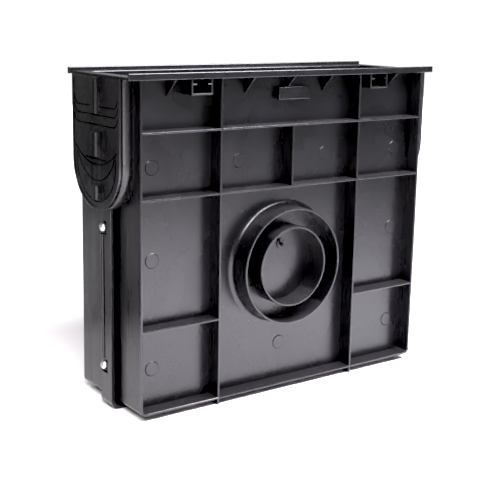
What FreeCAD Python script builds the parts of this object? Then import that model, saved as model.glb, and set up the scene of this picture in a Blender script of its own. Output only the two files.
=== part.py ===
import FreeCAD, Part
import math
import os
import types

import Sketcher
from FreeCAD import Rotation, Vector

# Sizes of the sand trap in millimetres
SIZES = {
    # Top rim
    "flange_length": 500,
    "flange_width": 160,
    "total_height": 438,
    "plate_thickness": 3.5,
    "lip_height": 4.5,
    "lip_strip": 8.5,
    "lip_thickness": 3,
    # Ribbed body
    "frame_length": 466,
    "frame_width": 155,
    "wall": 3,
    "panel_depth": 22.5,
    "rib": 2.8,
    "corner_radius": 8,
    "foot_height": 8,
    "column_rib": 115,
    "row_low": 118,
    "row_mid": 284,
    "row_high": 366,
    # Outlet spigots
    "outlet_height": 175.5,
    "outlet_large": 160,
    "outlet_small": 110,
    "spigot_wall": 3,
    "spigot_reach": 30.5,
    "gate_height": 201.5,
    "gate_diameter": 14,
    "gate_proud": 1.6,
    # Gussets, clip sleeves and block below the rim
    "gusset_inner": 65,
    "gusset_outer": 183,
    "gusset_height": 24,
    "gusset_thickness": 2.4,
    "sleeve_place": 146.5,
    "sleeve_width": 31.4,
    "sleeve_wall": 2.6,
    "sleeve_drop": 20.3,
    "sleeve_tooth": 4.8,
    "sleeve_tooth_drop": 5.8,
    "sleeve_tooth_thickness": 2,
    "block_left": 16,
    "block_right": 36,
    "block_top": 15.2,
    "block_height": 16.3,
    "block_proud": 9.5,
    # Channel sockets at the ends
    "socket_width": 124,
    "socket_bottom": 264,
    "socket_reach": 20,
    "line_width": 1.8,
    "line_depth": 1.2,
    "line_corner": 12,
    "line_margin": 5,
    "border": 3.4,
    "face_recess": 1,
    "line_first": 393,
    "line_second": 382.5,
    "line_third": 370.5,
    "arc_high": 320.5,
    "arc_high_radius": 84,
    "arc_high_reach": 55,
    "arc_mid": 300.5,
    "arc_mid_radius": 53,
    "arc_mid_reach": 49,
    "arc_low_margin": 10,
    "arc_low_rise": 7,
    "lens_height": 328.2,
    "lens_reach": 27,
    "bar_width": 12,
    "bar_proud": 6.5,
    "bar_round": 4,
    "bar_high_base": 386,
    "bar_mid_base": 333,
    "bar_mid_top": 363,
    "bar_low_base": 278.5,
    "bar_low_top": 296.5,
    # Seam flange with its lapped tongues and screws
    "seam_proud": 9,
    "seam_radius": 12,
    "seam_web": 3,
    "seam_cap": 10.5,
    "seam_cap_wide": 18,
    "seam_gap": 1,
    "cap_thickness": 4.5,
    "tongue_sink": 2,
    "tongue_radius": 6,
    "tongue_gap": 3,
    "tongue_seat": 0.2,
    "recess_width": 7,
    "screw_low": 56,
    "screw_high": 240,
    "screw_offset": 4,
    "screw_shank": 5,
    "screw_clearance": 0.4,
    "screw_tip": 3,
    "head_diameter": 11.5,
    "head_height": 4.8,
    "socket_flats": 4,
    "socket_depth": 2.4,
    "boss_width": 8,
    "boss_depth": 6,
    "boss_end": 1.5,
    # Lift-out basket and its swinging handle
    "basket_end_play": 6.6,
    "basket_side_play": 5.4,
    "basket_height": 104,
    "basket_wall": 2.4,
    "basket_corner": 14,
    "brim_width": 2.6,
    "brim_height": 3,
    "slot_width": 5,
    "slot_margin": 18,
    "slot_end": 33,
    "slot_rows": 16,
    "floor_slot": 52,
    "ear_width": 24,
    "ear_crown": 12,
    "ear_rise": 10,
    "ear_thickness": 3,
    "pivot_pin": 4,
    "pivot_clearance": 0.4,
    "pin_end": 5,
    "bail_width": 4,
    "bail_thickness": 4,
    "bail_corner": 9,
    "bail_gap": 0.4,
    "bail_seat": 0.2,
    "bail_reach": 45,
    # Margin by which joined or cut forms run past one another
    "overlap": 1,
}

doc = FreeCAD.newDocument("sand_trap_drain")
sheet = doc.addObject("Spreadsheet::Sheet", "Sizes")
for row, (name, number) in enumerate(SIZES.items(), start=1):
    sheet.set(f"A{row}", name)
    sheet.set(f"B{row}", str(number))
    sheet.setAlias(f"B{row}", name)
doc.recompute()


class Size:
    """A sheet value, or a sum of such values, as a number and as its expression."""

    def __init__(self, number, text):
        self.number = number
        self.text = text

    def join(self, sign, number, other):
        return Size(number, f"({self.text} {sign} {other.text})")

    def __add__(self, other):
        other = as_size(other)
        return self.join("+", self.number + other.number, other)

    def __sub__(self, other):
        other = as_size(other)
        return self.join("-", self.number - other.number, other)

    def __mul__(self, other):
        other = as_size(other)
        return self.join("*", self.number * other.number, other)

    def __truediv__(self, other):
        other = as_size(other)
        return self.join("/", self.number / other.number, other)

    def __neg__(self):
        return Size(-self.number, f"(-1 * {self.text})")


def as_size(value):
    if isinstance(value, Size):
        return value
    return Size(float(value), str(float(value)))


NIL = as_size(0)
v = types.SimpleNamespace(**{name: Size(float(number), f"Sizes.{name}") for name, number in SIZES.items()})


# Sketches
def new_sketch(body, name, role, offset=NIL):
    """Sketch on an origin plane of the body, moved along the plane's normal."""
    sketch = body.newObject("Sketcher::SketchObject", name)
    plane = next(item for item in body.Origin.OriginFeatures if item.Role == role)
    sketch.AttachmentSupport = [(plane, "")]
    sketch.MapMode = "FlatFace"
    sketch.AttachmentOffset = FreeCAD.Placement(Vector(0, 0, offset.number), Rotation())
    if offset is not NIL:
        sketch.setExpression("AttachmentOffset.Base.z", offset.text)
    return sketch


def pin(edge, end, across, up):
    """Constraints that hold a point at a place measured from the origin, each with its size."""
    held = []
    for kind, axis, size in (("DistanceX", -2, across), ("DistanceY", -1, up)):
        if size.number == 0:
            held.append((Sketcher.Constraint("PointOnObject", edge, end, axis), None))
        elif size.number > 0:
            held.append((Sketcher.Constraint(kind, -1, 1, edge, end, size.number), size))
        else:
            held.append((Sketcher.Constraint(kind, edge, end, -1, 1, -size.number), -size))
    return held


def hold(sketch, held):
    """Add the constraints in one go and bind each to its size."""
    first = sketch.ConstraintCount
    sketch.addConstraint([constraint for constraint, _ in held])
    for index, (_, size) in enumerate(held, start=first):
        if size is not None:
            sketch.setExpression(f"Constraints[{index}]", size.text)


def outline(sketch, corners):
    """Closed loop; a corner is (x, y), or (x, y, centre x, centre y, radius, turn) to start an arc."""
    places = [Vector(corner[0].number, corner[1].number, 0) for corner in corners]
    edges = []
    for start, end, corner in zip(places, places[1:] + places[:1], corners):
        if len(corner) == 2:
            edges.append((sketch.addGeometry(Part.LineSegment(start, end)), 1, 2))
            continue
        centre = Vector(corner[2].number, corner[3].number, 0)
        first = math.atan2(start.y - centre.y, start.x - centre.x)
        last = math.atan2(end.y - centre.y, end.x - centre.x)
        round_edge = Part.Circle(centre, Vector(0, 0, 1), corner[4].number)
        if corner[5] > 0:
            edges.append((sketch.addGeometry(Part.ArcOfCircle(round_edge, first, last)), 1, 2))
        else:
            edges.append((sketch.addGeometry(Part.ArcOfCircle(round_edge, last, first)), 2, 1))
    held = []
    for (edge, _, end), (after, begin, _) in zip(edges, edges[1:] + edges[:1]):
        held.append((Sketcher.Constraint("Coincident", edge, end, after, begin), None))
    for (edge, start, _), corner in zip(edges, corners):
        held.extend(pin(edge, start, corner[0], corner[1]))
        if len(corner) > 2:
            held.append((Sketcher.Constraint("Radius", edge, corner[4].number), corner[4]))
    hold(sketch, held)


def rectangle(sketch, left, right, low, high):
    outline(sketch, [(left, low), (right, low), (right, high), (left, high)])


def circle(sketch, across, up, radius):
    centre = Vector(across.number, up.number, 0)
    edge = sketch.addGeometry(Part.Circle(centre, Vector(0, 0, 1), radius.number))
    hold(sketch, pin(edge, 3, across, up) + [(Sketcher.Constraint("Radius", edge, radius.number), radius)])


# Features
def extrude(body, kind, sketch, length, reverse=False, middle=False):
    feature = body.newObject(f"PartDesign::{kind}", f"{sketch.Name}_{kind.lower()}")
    feature.Profile = sketch
    feature.setExpression("Length", length.text)
    feature.Reversed = reverse
    feature.Refine = False
    if middle:
        feature.SideType = "Symmetric"
    sketch.Visibility = False
    return feature


def pad(body, sketch, length, reverse=False, middle=False):
    return extrude(body, "Pad", sketch, length, reverse, middle)


def pocket(body, sketch, depth, reverse=False):
    return extrude(body, "Pocket", sketch, depth, reverse)


# Places shared by several forms
half_flange = v.flange_length / 2
half_frame = v.frame_length / 2
rib_front = v.frame_width / 2
panel_front = rib_front - v.panel_depth
panel_back = panel_front - v.wall
plate_top = v.total_height - v.lip_height
plate_base = plate_top - v.plate_thickness
floor_top = v.foot_height + v.wall
end_inside = half_frame - v.wall
socket_half = v.socket_width / 2
socket_face = half_frame + v.socket_reach
seam_face = half_frame + v.seam_proud
tongue_face = seam_face - v.tongue_sink
tongue_back = tongue_face - v.cap_thickness
boss_face = tongue_back - v.tongue_seat
boss_start = end_inside - v.boss_depth
screw_heights = (v.screw_low, v.screw_high)


def u_band(sketch, outer, base, outer_radius, inner, floor, inner_radius, top):
    """U-shaped strip that follows the ends and the floor of the body."""
    outline(sketch, [
        (-outer, top),
        (-outer, base + outer_radius, outer_radius - outer, base + outer_radius, outer_radius, 1),
        (outer_radius - outer, base),
        (outer - outer_radius, base, outer - outer_radius, base + outer_radius, outer_radius, 1),
        (outer, base + outer_radius),
        (outer, top),
        (inner, top),
        (inner, floor + inner_radius, inner - inner_radius, floor + inner_radius, inner_radius, -1),
        (inner - inner_radius, floor),
        (inner_radius - inner, floor, inner_radius - inner, floor + inner_radius, inner_radius, -1),
        (-inner, floor + inner_radius),
        (-inner, top),
    ])


def tray(sketch, half, base, radius, top):
    """Upright outline with rounded lower corners."""
    outline(sketch, [
        (-half, top),
        (-half, base + radius, radius - half, base + radius, radius, 1),
        (radius - half, base),
        (half - radius, base, half - radius, base + radius, radius, 1),
        (half, base + radius),
        (half, top),
    ])


def half_arch(sketch, half, base, top):
    """Front half of a round-bottomed channel outline."""
    outline(sketch, [
        (NIL, base, NIL, base + half, half, -1),
        (-half, base + half),
        (-half, top),
        (NIL, top),
    ])


def corner_cell(sketch, side, inner, top):
    """Lowest rib cell at one end, rounded where the tray's corner is."""
    bend = v.corner_radius - v.wall
    end = end_inside * side
    bend_middle = (end_inside - bend) * side
    outline(sketch, [
        (inner * side, floor_top),
        (bend_middle, floor_top, bend_middle, floor_top + bend, bend, side),
        (end, floor_top + bend),
        (end, top),
        (inner * side, top),
    ])


def shell_walls(body):
    """Tray with the chamber behind the side wall and the ribbed cells in front of it."""
    block = new_sketch(body, "tray_outline", "XZ_Plane")
    tray(block, half_frame, v.foot_height, v.corner_radius, plate_top)
    pad(body, block, rib_front)
    chamber = new_sketch(body, "chamber_outline", "XZ_Plane")
    tray(chamber, end_inside, floor_top, v.corner_radius - v.wall, plate_top + v.overlap)
    pocket(body, chamber, panel_back, reverse=True)

    cells = new_sketch(body, "rib_cells", "XZ_Plane", rib_front)
    half_rib = v.rib / 2
    inner = v.column_rib - half_rib
    outer = v.column_rib + half_rib
    side_rows = (
        (v.row_low + half_rib, v.row_mid - half_rib),
        (v.row_mid + half_rib, v.row_high - half_rib),
        (v.row_high + half_rib, plate_base),
    )
    for side in (-1, 1):
        corner_cell(cells, side, outer, v.row_low - half_rib)
        for low, high in side_rows:
            left, right = sorted((outer * side, end_inside * side), key=lambda size: size.number)
            rectangle(cells, left, right, low, high)
    rectangle(cells, -inner, inner, floor_top, v.row_mid - half_rib)
    rectangle(cells, -inner, -half_rib, v.row_mid + half_rib, v.row_high - half_rib)
    rectangle(cells, half_rib, inner, v.row_mid + half_rib, v.row_high - half_rib)
    rectangle(cells, -inner, inner, v.row_high + half_rib, plate_base)
    pocket(body, cells, v.panel_depth)

    feet = new_sketch(body, "foot_ribs", "XZ_Plane")
    for side in (-1, 1):
        place = v.column_rib * side
        rectangle(feet, place - half_rib, place + half_rib, NIL, v.foot_height + v.overlap)
    pad(body, feet, rib_front)


def top_rim(body):
    """Flange plate round the opening, with the raised lip along the side."""
    plate = new_sketch(body, "flange_plate", "XY_Plane", plate_base)
    half_width = v.flange_width / 2
    outline(plate, [
        (-half_flange, -half_width),
        (half_flange, -half_width),
        (half_flange, NIL),
        (end_inside, NIL),
        (end_inside, -panel_back),
        (-end_inside, -panel_back),
        (-end_inside, NIL),
        (-half_flange, NIL),
    ])
    pad(body, plate, v.plate_thickness)
    lip = new_sketch(body, "flange_lip", "XY_Plane", v.total_height - v.lip_strip)
    rectangle(lip, -half_flange, half_flange, -half_width, v.lip_thickness - half_width)
    pad(body, lip, v.lip_strip)


def outlet(body):
    """Two concentric spigots closed by the side wall, with the gate mark inside them."""
    centre = v.outlet_height
    rings = new_sketch(body, "outlet_spigots", "XZ_Plane", panel_front - v.overlap)
    for diameter in (v.outlet_large, v.outlet_small):
        circle(rings, NIL, centre, diameter / 2)
        circle(rings, NIL, centre, diameter / 2 - v.spigot_wall)
    pad(body, rings, v.spigot_reach + v.overlap)
    gate = new_sketch(body, "gate_mark", "XZ_Plane", panel_front - v.overlap)
    circle(gate, NIL, v.gate_height, v.gate_diameter / 2)
    pad(body, gate, v.gate_proud + v.overlap)


def rim_supports(body):
    """Gussets, clip sleeves and the raised block below the rim."""
    lip_back = v.flange_width / 2 - v.lip_thickness
    places = (-v.gusset_outer, -v.gusset_inner, NIL, v.gusset_inner, v.gusset_outer)
    for number, place in enumerate(places, start=1):
        gusset = new_sketch(body, f"gusset_{number}", "YZ_Plane", place)
        outline(gusset, [
            (v.overlap - panel_front, plate_base - v.gusset_height),
            (v.overlap - panel_front, plate_base + v.overlap),
            (-lip_back - v.overlap, plate_base + v.overlap),
            (-lip_back - v.overlap, plate_base - v.overlap),
        ])
        pad(body, gusset, v.gusset_thickness, middle=True)

    sleeves = new_sketch(body, "clip_sleeves", "XZ_Plane", panel_front - v.overlap)
    base = plate_base - v.sleeve_drop
    tooth_top = plate_base - v.sleeve_tooth_drop
    tooth_base = tooth_top - v.sleeve_tooth_thickness
    top = plate_base + v.overlap
    outer = v.sleeve_width / 2
    inner = outer - v.sleeve_wall
    tip = inner - v.sleeve_tooth
    for side in (-1, 1):
        place = v.sleeve_place * side
        outline(sleeves, [
            (place - outer, base),
            (place + outer, base),
            (place + outer, top),
            (place + inner, top),
            (place + inner, tooth_top),
            (place + tip, tooth_top),
            (place + tip, tooth_base),
            (place + inner, tooth_base),
            (place + inner, base + v.sleeve_wall),
            (place - inner, base + v.sleeve_wall),
            (place - inner, tooth_base),
            (place - tip, tooth_base),
            (place - tip, tooth_top),
            (place - inner, tooth_top),
            (place - inner, top),
            (place - outer, top),
        ])
    pad(body, sleeves, v.flange_width / 2 - panel_front + v.overlap)

    block = new_sketch(body, "raised_block", "XZ_Plane", panel_front - v.overlap)
    block_top = plate_base - v.block_top
    rectangle(block, -v.block_left, v.block_right, block_top - v.block_height, block_top)
    pad(body, block, v.block_proud + v.overlap)


def cut_lines(sketch):
    """Thin outlines on the socket face that show where to cut for each channel."""
    width = v.line_width
    side = socket_half - v.line_margin
    bend = v.line_corner
    for height in (v.line_first, v.line_second, v.line_third):
        outline(sketch, [
            (NIL, height),
            (bend - side, height, bend - side, height + bend, bend, -1),
            (-side, height + bend),
            (width - side, height + bend, bend - side, height + bend, bend - width, 1),
            (bend - side, height + width),
            (NIL, height + width),
        ])
    for base, radius, reach in (
        (v.arc_high, v.arc_high_radius, v.arc_high_reach),
        (v.arc_mid, v.arc_mid_radius, v.arc_mid_reach),
    ):
        slope = math.asin(reach.number / radius.number)
        rise = radius * (1 - math.cos(slope))
        inner = radius - width
        inner_reach = inner * math.sin(slope)
        inner_end = base + radius - inner * math.cos(slope)
        outline(sketch, [
            (NIL, base, NIL, base + radius, radius, -1),
            (-reach, base + rise),
            (-inner_reach, inner_end, NIL, base + radius, inner, 1),
            (NIL, base + width),
        ])
    half = socket_half - v.arc_low_margin
    base = v.socket_bottom + v.arc_low_margin
    outline(sketch, [
        (NIL, base, NIL, base + half, half, -1),
        (-half, base + half),
        (-half, base + half + v.arc_low_rise),
        (width - half, base + half + v.arc_low_rise),
        (width - half, base + half, NIL, base + half, half - width, 1),
        (NIL, base + width),
    ])
    rectangle(sketch, -v.lens_reach, NIL, v.lens_height, v.lens_height + width)


def channel_socket(body, side, name):
    """Round-bottomed socket at one end, hollow behind its sunk face, with cut lines."""
    reverse = side < 0
    collar = new_sketch(body, f"socket_{name}", "YZ_Plane", end_inside * side)
    half_arch(collar, socket_half, v.socket_bottom, plate_base + v.overlap)
    pad(body, collar, v.socket_reach + v.wall, reverse=reverse)
    hollow = new_sketch(body, f"socket_hollow_{name}", "YZ_Plane", (socket_face - v.wall) * side)
    half_arch(hollow, socket_half - v.wall, v.socket_bottom + v.wall, plate_base)
    pocket(body, hollow, v.socket_reach + v.overlap, reverse=reverse)
    recess = new_sketch(body, f"face_recess_{name}", "YZ_Plane", socket_face * side)
    half_arch(recess, socket_half - v.border, v.socket_bottom + v.border, plate_base - v.border)
    pocket(body, recess, v.face_recess, reverse=reverse)
    lines = new_sketch(body, f"cut_lines_{name}", "YZ_Plane", (socket_face - v.face_recess) * side)
    cut_lines(lines)
    pocket(body, lines, v.line_depth, reverse=reverse)


def seam_bars(body):
    """Upright bars beside the seam on the left socket; the other half has its own at the right end."""
    root = socket_face - v.wall + v.line_depth / 2
    front = socket_face + v.bar_proud
    shoulder = front - v.bar_round
    bars = (
        ("high", v.bar_high_base, plate_base),
        ("mid", v.bar_mid_base, v.bar_mid_top),
        ("low", v.bar_low_base, v.bar_low_top),
    )
    for level, base, top in bars:
        bar = new_sketch(body, f"bar_{level}", "XY_Plane", base)
        outline(bar, [
            (-root, NIL),
            (-root, -v.bar_width),
            (-shoulder, -v.bar_width, -shoulder, v.bar_round - v.bar_width, v.bar_round, -1),
            (-front, v.bar_round - v.bar_width),
            (-front, NIL),
        ])
        pad(body, bar, top - base)


def left_band(sketch, outer, thickness, radius, top):
    """Strip that runs down the left end and under the floor as far as the middle."""
    inner = outer - thickness
    bend = radius - thickness
    outline(sketch, [
        (-outer, top),
        (-outer, radius, radius - outer, radius, radius, 1),
        (radius - outer, NIL),
        (NIL, NIL),
        (NIL, thickness),
        (bend - inner, thickness, bend - inner, radius, bend, -1),
        (-inner, radius),
        (-inner, top),
    ])


def seam_flange(body):
    """Web and cap that run down the ends and under the floor along the seam, wider at the left end."""
    top = v.socket_bottom + v.wall / 2
    web = new_sketch(body, "seam_web", "XZ_Plane")
    u_band(web, seam_face, NIL, v.seam_radius, half_frame - v.wall / 2, v.foot_height + v.wall / 2,
           v.corner_radius - v.wall / 2, top)
    pad(body, web, v.seam_web)
    half_gap = v.seam_gap / 2
    cap = new_sketch(body, "seam_cap", "XZ_Plane", half_gap)
    u_band(cap, seam_face, NIL, v.seam_radius, seam_face - v.cap_thickness, v.cap_thickness,
           v.seam_radius - v.cap_thickness, top)
    pad(body, cap, v.seam_cap - half_gap)
    wide_cap = new_sketch(body, "seam_cap_wide", "XZ_Plane", half_gap)
    left_band(wide_cap, seam_face, v.cap_thickness, v.seam_radius, top)
    pad(body, wide_cap, v.seam_cap_wide - half_gap)


def seam_tongues(body):
    """Tongues that lap over the other half at the left end, each with its screw hole."""
    recess = new_sketch(body, "tongue_recess", "YZ_Plane", -seam_face - v.overlap)
    reach = v.tongue_radius + v.tongue_gap
    for height in screw_heights:
        rectangle(recess, -v.recess_width, v.overlap, height - reach, height + reach)
    pocket(body, recess, v.tongue_sink + v.overlap, reverse=True)
    tongue = new_sketch(body, "seam_tongue", "YZ_Plane", -tongue_face)
    radius = v.tongue_radius
    for height in screw_heights:
        outline(tongue, [
            (-v.seam_web, height - radius),
            (v.screw_offset, height - radius, v.screw_offset, height, radius, 1),
            (v.screw_offset + radius, height, v.screw_offset, height, radius, 1),
            (v.screw_offset, height + radius),
            (-v.seam_web, height + radius),
        ])
    pad(body, tongue, v.cap_thickness)
    hole = new_sketch(body, "tongue_hole", "YZ_Plane", -tongue_face - v.overlap)
    for height in screw_heights:
        circle(hole, v.screw_offset, height, v.screw_shank / 2 + v.screw_clearance)
    pocket(body, hole, v.cap_thickness + v.overlap * 2, reverse=True)


def seam_seats(body):
    """Notches and bosses at the right end that take the other half's tongues and screws."""
    notch = new_sketch(body, "tongue_notch", "YZ_Plane", seam_face + v.overlap)
    reach = v.tongue_radius + v.tongue_gap
    for height in screw_heights:
        rectangle(notch, -v.seam_cap - v.overlap, v.overlap, height - reach, height + reach)
    pocket(body, notch, seam_face + v.overlap - boss_face)
    boss = new_sketch(body, "screw_boss", "YZ_Plane", boss_start)
    half = v.boss_width / 2
    for height in screw_heights:
        rectangle(boss, -v.screw_offset - half, half - v.screw_offset, height - half, height + half)
    pad(body, boss, boss_face - boss_start)
    bore = new_sketch(body, "screw_bore", "YZ_Plane", boss_face)
    for height in screw_heights:
        circle(bore, -v.screw_offset, height, v.screw_shank / 2 + v.screw_clearance / 2)
    pocket(body, bore, boss_face - boss_start - v.boss_end)


def half_shell(label):
    body = doc.addObject("PartDesign::Body", label)
    shell_walls(body)
    top_rim(body)
    outlet(body)
    rim_supports(body)
    channel_socket(body, -1, "left")
    channel_socket(body, 1, "right")
    seam_bars(body)
    seam_flange(body)
    seam_tongues(body)
    seam_seats(body)
    body.Tip.Refine = True
    return body


def turned_copy(label, original):
    """The same moulding again, turned half round about the upright axis."""
    body = doc.addObject("PartDesign::Body", label)
    clone = body.newObject("PartDesign::FeatureBase", f"{label}_moulding")
    clone.BaseFeature = original
    body.Tip = clone
    body.Placement = FreeCAD.Placement(Vector(0, 0, 0), Rotation(Vector(0, 0, 1), 180))
    return body


def seam_screw(name, side, height):
    """Cap screw with a six-sided socket, its head facing out of the end."""
    body = doc.addObject("PartDesign::Body", name)
    radius = v.head_diameter / 2
    shank = v.screw_shank / 2
    length = tongue_face - boss_start - v.screw_tip
    profile = new_sketch(body, f"{name}_profile", "XZ_Plane")
    outline(profile, [
        (NIL, -length),
        (shank, -length),
        (shank, NIL),
        (radius, NIL),
        (radius, v.head_height),
        (NIL, v.head_height),
    ])
    turned = body.newObject("PartDesign::Revolution", f"{name}_turned")
    turned.Profile = profile
    turned.ReferenceAxis = (profile, ["V_Axis"])
    turned.Angle = 360
    drive = new_sketch(body, f"{name}_drive", "XY_Plane", v.head_height)
    corner = v.socket_flats / math.sqrt(3)
    outline(drive, [
        (corner, NIL),
        (corner / 2, v.socket_flats / 2),
        (-corner / 2, v.socket_flats / 2),
        (-corner, NIL),
        (-corner / 2, -v.socket_flats / 2),
        (corner / 2, -v.socket_flats / 2),
    ])
    pocket(body, drive, v.socket_depth)
    place = Vector(tongue_face.number * side, -v.screw_offset.number * side, height.number)
    body.Placement = FreeCAD.Placement(place, Rotation(Vector(0, 1, 0), 90 * side))
    body.setExpression("Placement.Base.x", (tongue_face * side).text)
    body.setExpression("Placement.Base.y", (v.screw_offset * -side).text)
    body.setExpression("Placement.Base.z", height.text)
    return body


def rounded(sketch, half_length, half_width, radius):
    """Rectangle with rounded corners about the origin."""
    across = half_length - radius
    up = half_width - radius
    outline(sketch, [
        (-across, -half_width),
        (across, -half_width, across, -up, radius, 1),
        (half_length, -up),
        (half_length, up, across, up, radius, 1),
        (across, half_width),
        (-across, half_width, -across, up, radius, 1),
        (-half_length, up),
        (-half_length, -up, -across, -up, radius, 1),
    ])


# The basket clears the screw bosses with its handle and the side walls with its brim
half_basket = boss_start - v.basket_end_play - v.bail_width - v.bail_gap
basket_side = panel_back - v.basket_side_play - v.brim_width
basket_top = floor_top + v.basket_height
slot_spread = half_basket - v.slot_end
pivot = basket_top + v.bail_thickness / 2 + v.bail_seat


def slot_row(body, sketch, depth, reverse=False):
    """Row of slots along the basket from the first one in the sketch."""
    first = pocket(body, sketch, depth, reverse)
    row = body.newObject("PartDesign::LinearPattern", f"{sketch.Name}_row")
    row.Originals = [first]
    row.Direction = (sketch, ["H_Axis"])
    row.setExpression("Length", (slot_spread * 2).text)
    row.setExpression("Occurrences", v.slot_rows.text)
    body.Tip = row
    return row


def sediment_basket():
    """Basket with slotted sides and floor, a brim, and an ear at each end."""
    body = doc.addObject("PartDesign::Body", "sediment_basket")
    outer = new_sketch(body, "basket_outline", "XY_Plane", basket_top)
    rounded(outer, half_basket, basket_side, v.basket_corner)
    pad(body, outer, v.basket_height, reverse=True)
    inside = new_sketch(body, "basket_inside", "XY_Plane", basket_top)
    rounded(inside, half_basket - v.basket_wall, basket_side - v.basket_wall, v.basket_corner - v.basket_wall)
    pocket(body, inside, v.basket_height - v.basket_wall)
    brim = new_sketch(body, "basket_brim", "XY_Plane", basket_top - v.brim_height)
    for offset in (v.brim_width, -v.basket_wall / 2):
        rounded(brim, half_basket + offset, basket_side + offset, v.basket_corner + offset)
    pad(body, brim, v.brim_height)
    ears = new_sketch(body, "basket_ears", "YZ_Plane", -half_basket)
    ear = v.ear_width / 2
    crown = v.ear_crown / 2
    base = basket_top - v.brim_height
    outline(ears, [
        (-ear, base),
        (ear, base),
        (ear, pivot),
        (crown, pivot + v.ear_rise),
        (-crown, pivot + v.ear_rise),
        (-ear, pivot),
    ])
    tab = pad(body, ears, v.ear_thickness)
    eye = new_sketch(body, "ear_eye", "YZ_Plane", -half_basket - v.overlap)
    circle(eye, NIL, pivot, v.pivot_pin / 2 + v.pivot_clearance)
    bore = pocket(body, eye, v.ear_thickness + v.overlap * 2, reverse=True)
    pair = body.newObject("PartDesign::Mirrored", "ear_pair")
    pair.Originals = [tab, bore]
    pair.MirrorPlane = (next(item for item in body.Origin.OriginFeatures if item.Role == "YZ_Plane"), [""])
    body.Tip = pair
    start = -slot_spread
    half = v.slot_width / 2
    sides = new_sketch(body, "side_slot", "XZ_Plane", -basket_side - v.overlap)
    rectangle(sides, start - half, start + half, floor_top + v.slot_margin, basket_top - v.slot_margin)
    slot_row(body, sides, basket_side * 2 + v.overlap * 2, reverse=True)
    bottom = new_sketch(body, "floor_slot", "XY_Plane", floor_top + v.basket_wall + v.overlap)
    rectangle(bottom, start - half, start + half, -v.floor_slot / 2, v.floor_slot / 2)
    slot_row(body, bottom, v.basket_wall + v.overlap * 2)
    return body


def basket_handle():
    """Moulded bail with a pin at each end that turns in the basket's ears."""
    body = doc.addObject("PartDesign::Body", "basket_handle")
    inner = half_basket + v.bail_gap
    outer = inner + v.bail_width
    bend = v.bail_corner
    inner_bend = bend - v.bail_width
    reach = v.bail_reach
    inner_reach = reach - v.bail_width
    hoop = new_sketch(body, "handle_hoop", "XY_Plane")
    outline(hoop, [
        (-outer, NIL),
        (-inner, NIL),
        (-inner, inner_reach - inner_bend, inner_bend - inner, inner_reach - inner_bend, inner_bend, -1),
        (inner_bend - inner, inner_reach),
        (inner - inner_bend, inner_reach, inner - inner_bend, inner_reach - inner_bend, inner_bend, -1),
        (inner, inner_reach - inner_bend),
        (inner, NIL),
        (outer, NIL),
        (outer, reach - bend, outer - bend, reach - bend, bend, 1),
        (outer - bend, reach),
        (bend - outer, reach, bend - outer, reach - bend, bend, 1),
        (-outer, reach - bend),
    ])
    pad(body, hoop, v.bail_thickness, middle=True)
    tip = half_basket - v.ear_thickness - v.pin_end
    for side, name in ((-1, "left"), (1, "right")):
        trunnion = new_sketch(body, f"pivot_pin_{name}", "YZ_Plane", outer * side)
        circle(trunnion, NIL, NIL, v.pivot_pin / 2)
        pad(body, trunnion, outer - tip, reverse=side > 0)
    body.Tip.Refine = True
    body.Placement = FreeCAD.Placement(Vector(0, 0, pivot.number), Rotation())
    body.setExpression("Placement.Base.z", pivot.text)
    return body


front = half_shell("front_half_shell")
rear = turned_copy("rear_half_shell", front)
screws = doc.addObject("Part::Compound", "seam_screws")
screws.Links = [
    seam_screw(f"seam_screw_{number}", side, height)
    for number, (side, height) in enumerate(((s, h) for s in (-1, 1) for h in screw_heights), start=1)
]
basket = sediment_basket()
handle = basket_handle()
doc.recompute()

nodes = [front, rear, screws, basket, handle]
for item in doc.Objects:
    faults = [state for state in item.State if state in ("Invalid", "Error")]
    if faults:
        raise RuntimeError(f"{item.Label}: {faults}")
os.makedirs("parts", exist_ok=True)
for node in nodes:
    shape = node.Shape
    if shape.isNull() or not shape.isValid():
        raise RuntimeError(f"{node.Label} has no valid shape")
    shape.exportStep(f"parts/{node.Label}.step")
    box = shape.BoundBox
    print(node.Label, len(shape.Solids), round(shape.Volume), [round(n, 1) for n in (
        box.XMin, box.XMax, box.YMin, box.YMax, box.ZMin, box.ZMax)])
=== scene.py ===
"""Looks of a black moulded sand trap for a surface drain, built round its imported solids."""
import logging
import math
from dataclasses import dataclass
from enum import Enum
from typing import Any

import bmesh
import bpy
from mathutils import Matrix, Vector


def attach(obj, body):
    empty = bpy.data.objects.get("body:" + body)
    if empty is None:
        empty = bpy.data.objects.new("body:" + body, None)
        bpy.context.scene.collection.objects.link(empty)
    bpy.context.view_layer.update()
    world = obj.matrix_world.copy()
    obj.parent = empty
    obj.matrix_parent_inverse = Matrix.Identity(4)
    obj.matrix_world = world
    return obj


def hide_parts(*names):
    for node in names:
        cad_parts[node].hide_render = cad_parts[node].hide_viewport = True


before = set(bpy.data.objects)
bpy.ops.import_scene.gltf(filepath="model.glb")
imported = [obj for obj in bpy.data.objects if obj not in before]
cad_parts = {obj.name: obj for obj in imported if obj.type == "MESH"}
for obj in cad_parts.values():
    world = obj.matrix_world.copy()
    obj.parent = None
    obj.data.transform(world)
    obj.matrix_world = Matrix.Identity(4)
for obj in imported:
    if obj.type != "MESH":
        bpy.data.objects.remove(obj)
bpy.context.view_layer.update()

LOG = logging.getLogger("sand_trap")
MM = 0.001
WELD = 0.002 * MM
SLIVER = 0.005 * MM
FLAT_TURN = math.radians(0.5)
SCREW_HEIGHTS = (56 * MM, 240 * MM)


class Half(Enum):
    """The two mouldings of the body and the way each one faces along Y."""

    FRONT = -1
    REAR = 1

    @property
    def node(self) -> str:
        """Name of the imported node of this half."""
        return f"{self.name.lower()}_half_shell"


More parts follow.
